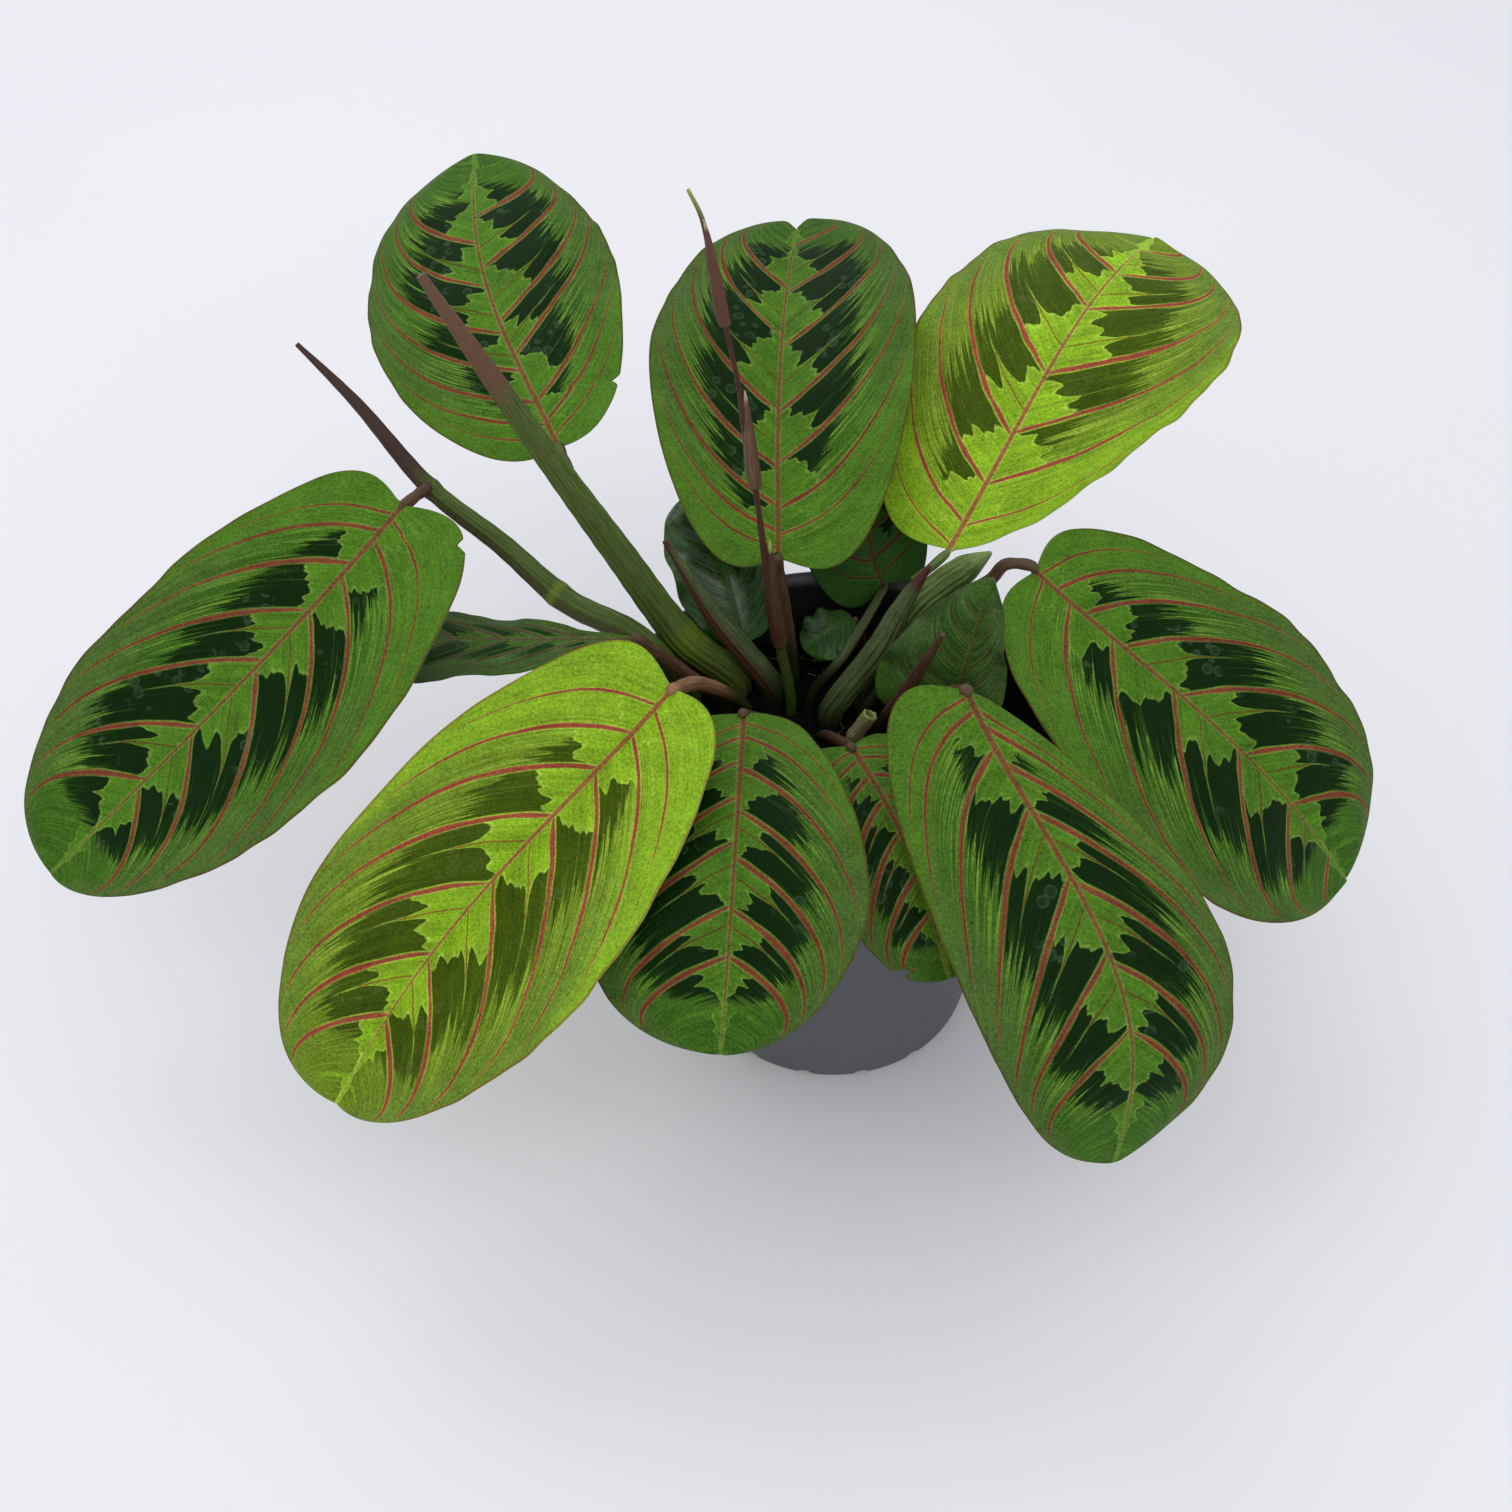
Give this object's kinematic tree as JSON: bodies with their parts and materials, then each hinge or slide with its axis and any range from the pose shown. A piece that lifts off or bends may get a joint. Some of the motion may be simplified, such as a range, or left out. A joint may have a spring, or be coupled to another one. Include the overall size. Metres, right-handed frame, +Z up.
{
  "type": "potted prayer plant",
  "caption": "Low spreading house plant with velvety patterned oval leaves on arching stalks, in a round tapered nursery pot.",
  "frame": {"origin": "centre of the pot's flat foot, on the surface that it stands on", "axes": "+Z up, +X to the right of the picture and along the plant's longest spread, +Y away from the viewer"},
  "size_m": [0.3758, 0.2696, 0.2402],
  "materials": {
    "pot": "matte",
    "soil": "matte",
    "leaf": "satin",
    "light_leaf": "satin",
    "dark_leaf": "satin",
    "stalk": "satin",
    "shoot": "satin",
    "bract": "matte",
    "dry_stalk": "matte"
  },
  "bodies": {
    "root": {"pot": "pot", "soil": "soil", "leaf_back_left": "leaf", "leaf_back": "leaf", "leaf_back_right": "light_leaf", "leaf_back_small": "leaf", "leaf_glossy_small": "dark_leaf", "leaf_soil_small": "dark_leaf", "leaf_right": "leaf", "leaf_front_right": "leaf", "leaf_folded": "dark_leaf", "leaf_front": "leaf", "leaf_front_small": "leaf", "leaf_front_left": "light_leaf", "leaf_left": "leaf", "leaf_left_edge": "dark_leaf", "stalk_back_left": "stalk", "stalk_back": "stalk", "stalk_back_right": "stalk", "stalk_back_small": "stalk", "stalk_glossy_small": "stalk", "stalk_soil_small": "stalk", "stalk_right": "stalk", "stalk_front_right": "stalk", "stalk_folded": "stalk", "stalk_front": "stalk", "stalk_front_small": "stalk", "stalk_front_left": "stalk", "stalk_left": "stalk", "stalk_left_edge": "stalk", "shoot_tall": "shoot", "shoot_low": "shoot", "spear_left": "shoot", "flower_stalk": "bract", "sheath_right": "shoot", "spear_right": "shoot", "spear_front": "bract", "cut_stub": "dry_stalk"}
  },
  "joints": []
}
